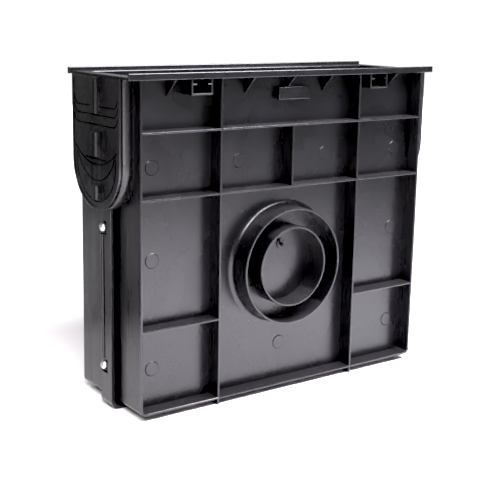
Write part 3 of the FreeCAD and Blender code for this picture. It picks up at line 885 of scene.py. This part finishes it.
    def seam_tree(self, finish: bpy.types.Material) -> tuple[bpy.types.NodeTree, dict[str, float]]:
        """Make the tree that adds the bead of the seam and carves its line and screw recesses.

        Args:
            finish: Material of the moulding.

        Returns:
            The tree and the values of its inputs.
        """
        sizes = {"Bead Radius": self.bead_radius, "Recess Radius": self.recess_radius}
        tree, start = new_tree(f"lapped_seam_{self.half.name.lower()}", sizes, takes_mesh=True)
        value = start.outputs
        fused = add_node(tree, "GeometryNodeMeshBoolean", operation="UNION")
        for part in (value["Geometry"], self.bead(tree, value)):
            tree.links.new(part, fused.inputs["Mesh 2"])
        carved = add_node(tree, "GeometryNodeMeshBoolean", {
            "Mesh 1": fused.outputs["Mesh"], "Mesh 2": self.recesses(tree, value)}, operation="DIFFERENCE")
        end_tree(tree, carved.outputs["Mesh"], finish)
        return tree, sizes

    def build(self, finish: bpy.types.Material) -> bpy.types.Object:
        """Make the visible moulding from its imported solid.

        Args:
            finish: Material of the moulding.

        Returns:
            The piece, riding on the trap and standing for its node.
        """
        name = f"{self.half.name.lower()}_moulding"
        worker = new_object("shell_work", merged_copy(self.half.node))
        run_tree(worker, *self.pad_tree(finish))
        mesh = bake(worker, name)
        self.darken_lines(mesh)
        soften(mesh, self.rounding, self.ring)
        self.collar.shape(mesh)
        self.dim_faces(mesh)
        worker = new_object("shell_work", mesh)
        run_tree(worker, *self.seam_tree(finish))
        mesh = bake(worker, name)
        shade(mesh)
        mesh.materials.clear()
        mesh.materials.append(finish)
        piece = new_object(name, mesh)
        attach(piece, "trap")
        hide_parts(self.half.node)
        return piece


@dataclass
class SeamScrews:
    """Button-head screws with six-sided sockets that hold the two halves at the seam."""

    seat: float = 240 * MM
    offset: float = 4 * MM
    heights: tuple[float, float] = SCREW_HEIGHTS
    head_radius: float = 5.75 * MM
    head_height: float = 4.75 * MM
    head_edge: float = 1.0 * MM
    dome_stretch: float = 1.12
    socket_flats: float = 4 * MM
    socket_depth: float = 2.4 * MM
    shank_radius: float = 2.45 * MM
    shank_length: float = 15.8 * MM
    crease: float = math.radians(30)

    def head(self, tree: bpy.types.NodeTree, value: Any) -> bpy.types.NodeSocket:
        """Add the domed head with its six-sided socket.

        Args:
            tree: Geometry tree of the screws.
            value: Outputs of the tree's group input.

        Returns:
            The head's mesh, standing on its seat.
        """
        # A cylinder whose upper rings draw in along an ellipse
        block = add_node(tree, "GeometryNodeMeshCylinder", {
            "Vertices": 40, "Side Segments": 14, "Radius": value["Head Radius"],
            "Depth": value["Head Height"]})
        middle = add_node(tree, "ShaderNodeCombineXYZ", {"Z": value["Head Middle"]})
        raised = add_node(tree, "GeometryNodeTransform", {
            "Geometry": block.outputs["Mesh"], "Translation": middle.outputs[0]})
        place = add_node(tree, "GeometryNodeInputPosition").outputs[0]
        height = add_node(tree, "ShaderNodeSeparateXYZ", {0: place}).outputs["Z"]
        share = add_node(tree, "ShaderNodeMapRange", {
            "Value": height, "From Min": value["Head Edge"], "From Max": value["Dome Top"]}).outputs[0]
        square = add_node(tree, "ShaderNodeMath", {0: share, 1: share}, operation="MULTIPLY")
        rest = add_node(tree, "ShaderNodeMath", {0: 1.0, 1: square.outputs[0]}, operation="SUBTRACT")
        draw_in = add_node(tree, "ShaderNodeMath", {0: rest.outputs[0]}, operation="SQRT").outputs[0]
        factor = add_node(tree, "ShaderNodeCombineXYZ", {"X": draw_in, "Y": draw_in, "Z": 1.0})
        drawn = add_node(tree, "ShaderNodeVectorMath", {0: place, 1: factor.outputs[0]}, operation="MULTIPLY")
        domed = add_node(tree, "GeometryNodeSetPosition", {
            "Geometry": raised.outputs[0], "Position": drawn.outputs[0]})
        # The socket is sunk into the crown
        hexagon = add_node(tree, "GeometryNodeMeshCylinder", {
            "Vertices": 6, "Radius": value["Socket Radius"], "Depth": value["Socket Span"]})
        crown = add_node(tree, "ShaderNodeCombineXYZ", {"Z": value["Head Height"]})
        drill = add_node(tree, "GeometryNodeTransform", {
            "Geometry": hexagon.outputs["Mesh"], "Translation": crown.outputs[0]})
        return add_node(tree, "GeometryNodeMeshBoolean", {
            "Mesh 1": domed.outputs[0], "Mesh 2": drill.outputs[0]}, operation="DIFFERENCE").outputs[0]

    def tree(self, finish: bpy.types.Material) -> tuple[bpy.types.NodeTree, dict[str, float]]:
        """Make the tree that sets one screw at each hole of the seam.

        Args:
            finish: Material of the screws.

        Returns:
            The tree and the values of its inputs.
        """
        sizes = {
            "Head Radius": self.head_radius,
            "Head Height": self.head_height,
            "Head Middle": self.head_height / 2,
            "Head Edge": self.head_edge,
            "Dome Top": self.head_edge + (self.head_height - self.head_edge) * self.dome_stretch,
            "Socket Radius": self.socket_flats / math.sqrt(3),
            "Socket Span": self.socket_depth * 2,
            "Shank Radius": self.shank_radius,
            "Shank Length": self.shank_length,
            "Shank Middle": -self.shank_length / 2,
        }
        tree, start = new_tree("seam_screw_set", sizes, takes_mesh=False)
        value = start.outputs
        rod = add_node(tree, "GeometryNodeMeshCylinder", {
            "Vertices": 24, "Radius": value["Shank Radius"], "Depth": value["Shank Length"]})
        middle = add_node(tree, "ShaderNodeCombineXYZ", {"Z": value["Shank Middle"]})
        shank = add_node(tree, "GeometryNodeTransform", {
            "Geometry": rod.outputs["Mesh"], "Translation": middle.outputs[0]})
        screw = add_node(tree, "GeometryNodeJoinGeometry")
        for part in (self.head(tree, value), shank.outputs[0]):
            tree.links.new(part, screw.inputs[0])
        # One screw at each hole, its head facing out of the end
        ends = add_node(tree, "GeometryNodeJoinGeometry")
        low, high = self.heights
        for side in (-1, 1):
            row = add_node(tree, "GeometryNodeMeshLine", {
                "Count": len(self.heights), "Start Location": (side * self.seat, -side * self.offset, low),
                "Offset": (0.0, 0.0, high - low)}, mode="OFFSET")
            placed = add_node(tree, "GeometryNodeInstanceOnPoints", {
                "Points": row.outputs[0], "Instance": screw.outputs[0],
                "Rotation": (0.0, side * math.pi / 2, 0.0)})
            tree.links.new(placed.outputs[0], ends.inputs[0])
        end_tree(tree, ends.outputs[0], finish)
        return tree, sizes

    def build(self, finish: bpy.types.Material) -> bpy.types.Object:
        """Make the four screws.

        Args:
            finish: Material of the screws.

        Returns:
            The piece, riding on the trap and standing for its node.
        """
        worker = new_object("screw_work", bpy.data.meshes.new("screw_work"))
        run_tree(worker, *self.tree(finish))
        mesh = bake(worker, "button_head_screws")
        shade(mesh, crease=self.crease, largest=math.inf)
        piece = new_object("button_head_screws", mesh)
        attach(piece, "trap")
        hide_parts("seam_screws")
        return piece


@dataclass
class BasketPart:
    """A moulded piece of the lift-out basket."""

    node: str
    body: str
    rounding: Rounding = Rounding(edge=0.5 * MM, shortest=2.5 * MM)

    def build(self, finish: bpy.types.Material) -> bpy.types.Object:
        """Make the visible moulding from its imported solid.

        Args:
            finish: Material of the moulding.

        Returns:
            The piece, riding on its body and standing for its node.
        """
        mesh = merged_copy(self.node)
        soften(mesh, self.rounding)
        mesh.materials.append(finish)
        piece = new_object(f"{self.node}_moulding", mesh)
        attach(piece, self.body)
        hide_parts(self.node)
        return piece


@dataclass(frozen=True)
class Lamp:
    """A soft box that hangs level and shines straight down."""

    name: str
    place: tuple[float, float, float]
    width: float
    depth: float
    power: float
    colour: str = "#ffffff"
    spread: float = 180.0
    mirrored: bool = True

    def build(self) -> bpy.types.Object:
        """Hang the soft box.

        Returns:
            The light object.
        """
        data = bpy.data.lights.new(self.name, "AREA")
        data.shape = "RECTANGLE"
        data.size = self.width
        data.size_y = self.depth
        data.energy = self.power
        data.color = linear(self.colour)[:3]
        data.spread = math.radians(self.spread)
        lamp = bpy.data.objects.new(self.name, data)
        lamp.location = self.place
        lamp.visible_glossy = self.mirrored
        bpy.context.scene.collection.objects.link(lamp)
        return lamp


@dataclass
class Studio:
    """White studio with a pale floor, soft boxes and the photograph's camera."""

    floor_half: float = 3.9
    horizon: float = 1.05
    horizon_band: tuple[float, float] = (0.04, 0.16)
    backdrop_edge: tuple[float, float] = (0.5, 0.85)
    room: float = 0.25
    yaw: float = 35.327
    pitch: float = -11.533
    roll: float = 0.937
    eye: tuple[float, float, float] = (-838.9 * MM, -1127.1 * MM, 511.6 * MM)
    lens: float = 76.53
    shift: tuple[float, float] = (0.0129, -0.0434)
    black_point: float = 0.009
    card_start: tuple[float, float, float] = (-233 * MM, -10 * MM, 2 * MM)
    card_spans: tuple[tuple[float, float, float, float], ...] = (
        (0.35, 1.0, -0.09, 0.6), (1.42, 4.2, -0.5, 1.0))
    lamps: tuple[Lamp, ...] = (
        Lamp("overhead_box", (-0.5, -0.85, 1.5), width=0.6, depth=0.5, power=45.0, colour="#f7f3ff"),
        Lamp("near_box", (0.3, -0.4, 0.85), width=0.6, depth=0.5, power=45.0, colour="#f7f3ff"),
        Lamp("far_box", (1.9, -2.3, 1.2), width=0.8, depth=0.8, power=11.0, colour="#f7f3ff"),
        Lamp("left_box", (-1.4, -1.3, 1.6), width=1.2, depth=1.2, power=100.0, colour="#fff5f7",
             spread=110.0),
        Lamp("window_box", (-3.0, -2.0, 2.0), width=2.5, depth=2.5, power=150.0, colour="#fff5f7",
             spread=110.0),
        Lamp("backdrop_box", (2.0, 2.8, 2.2), width=3.5, depth=3.5, power=160.0, spread=100.0,
             mirrored=False),
    )

    def floor(self) -> bpy.types.Object:
        """Lay the floor.

        Returns:
            The floor.
        """
        reach = self.floor_half
        mesh = bpy.data.meshes.new("studio_floor")
        corners = [(-reach, -reach, 0.0), (reach, -reach, 0.0), (reach, reach, 0.0), (-reach, reach, 0.0)]
        mesh.from_pydata(corners, [], [(0, 1, 2, 3)])
        mesh.materials.append(PaintedFloor().material())
        made = new_object("studio_floor", mesh)
        return made

    def cards(self) -> bpy.types.Object:
        """Lay black cards on the floor behind the left end, which only mirror-like rays see.

        Returns:
            The cards.
        """
        start = Vector(self.card_start)
        away = Vector((-math.sin(math.radians(self.yaw)), math.cos(math.radians(self.yaw)), 0.0))
        aside = Vector((-away.y, away.x, 0.0))
        corners: list[Vector] = []
        for near, far, low, high in self.card_spans:
            corners += [start + away * reach + aside * shift
                        for reach, shift in ((near, low), (far, low), (far, high), (near, high))]
        mesh = bpy.data.meshes.new("black_cards")
        mesh.from_pydata(corners, [], [tuple(range(first, first + 4)) for first in range(0, len(corners), 4)])
        mesh.materials.append(BlackCard().material())
        made = new_object("black_cards", mesh)
        made.visible_camera = made.visible_diffuse = made.visible_shadow = False
        return made

    def world(self) -> None:
        """Light the room with a white backdrop behind the part and dim walls round the rest."""
        world = bpy.data.worlds.new("white_room")
        world.use_nodes = True
        tree = world.node_tree
        tree.nodes.clear()
        way = add_node(tree, "ShaderNodeTexCoord").outputs["Generated"]
        yaw = math.radians(self.yaw)
        ahead = add_node(tree, "ShaderNodeVectorMath", {
            0: way, 1: (math.sin(yaw), math.cos(yaw), 0.0)}, operation="DOT_PRODUCT").outputs["Value"]
        behind = add_node(tree, "ShaderNodeMapRange", {
            "Value": ahead, "From Min": self.backdrop_edge[0], "From Max": self.backdrop_edge[1],
            "To Min": self.room, "To Max": self.horizon})
        height = add_node(tree, "ShaderNodeSeparateXYZ", {0: way}).outputs["Z"]
        level = add_node(tree, "ShaderNodeMapRange", {
            "Value": height, "From Min": self.horizon_band[0], "From Max": self.horizon_band[1],
            "To Min": behind.outputs[0], "To Max": self.room})
        glow = add_node(tree, "ShaderNodeBackground", {
            "Color": (1.0, 1.0, 1.0, 1.0), "Strength": level.outputs[0]})
        add_node(tree, "ShaderNodeOutputWorld", {"Surface": glow.outputs[0]})
        bpy.context.scene.world = world

    def camera(self) -> bpy.types.Object:
        """Set up the camera of the photograph.

        Returns:
            The camera object.
        """
        yaw, pitch, roll = (math.radians(angle) for angle in (self.yaw, self.pitch, self.roll))
        ahead = Vector((math.sin(yaw) * math.cos(pitch), math.cos(yaw) * math.cos(pitch), math.sin(pitch)))
        level = Vector((math.cos(yaw), -math.sin(yaw), 0.0))
        above = level.cross(ahead)
        right = level * math.cos(roll) + above * math.sin(roll)
        upright = above * math.cos(roll) - level * math.sin(roll)
        data = bpy.data.cameras.new("photograph_camera")
        data.sensor_width = 36.0
        data.lens = self.lens
        data.shift_x, data.shift_y = self.shift
        made = bpy.data.objects.new("photograph_camera", data)
        turn = Matrix((right, upright, -ahead)).transposed().to_4x4()
        made.matrix_world = Matrix.Translation(self.eye) @ turn
        bpy.context.scene.collection.objects.link(made)
        bpy.context.scene.camera = made
        return made

    def build(self) -> None:
        """Set up floor, light, camera and colour handling."""
        self.floor()
        self.cards()
        self.world()
        for lamp in self.lamps:
            lamp.build()
        self.camera()
        view = bpy.context.scene.view_settings
        view.view_transform = "Standard"
        # The photograph's shadows are pressed to black
        view.use_curve_mapping = True
        view.curve_mapping.black_level = (self.black_point,) * 3
        view.curve_mapping.update()


def main() -> None:
    """Build the part's pieces in order and report each one."""
    black = BLACK_PP.material()
    grey = BASKET_PP.material()
    zinc = SCREW_ZINC.material()
    pieces = [HalfShell(half).build(black) for half in Half]
    pieces.append(SeamScrews().build(zinc))
    pieces.append(BasketPart("sediment_basket", "trap").build(grey))
    pieces.append(BasketPart("basket_handle", "handle").build(grey))
    for piece in pieces:
        LOG.info("%s: %d faces", piece.name, len(piece.data.polygons))
    Studio().build()


if __name__ == "__main__":
    logging.basicConfig(level=logging.INFO, format="%(message)s")
    main()
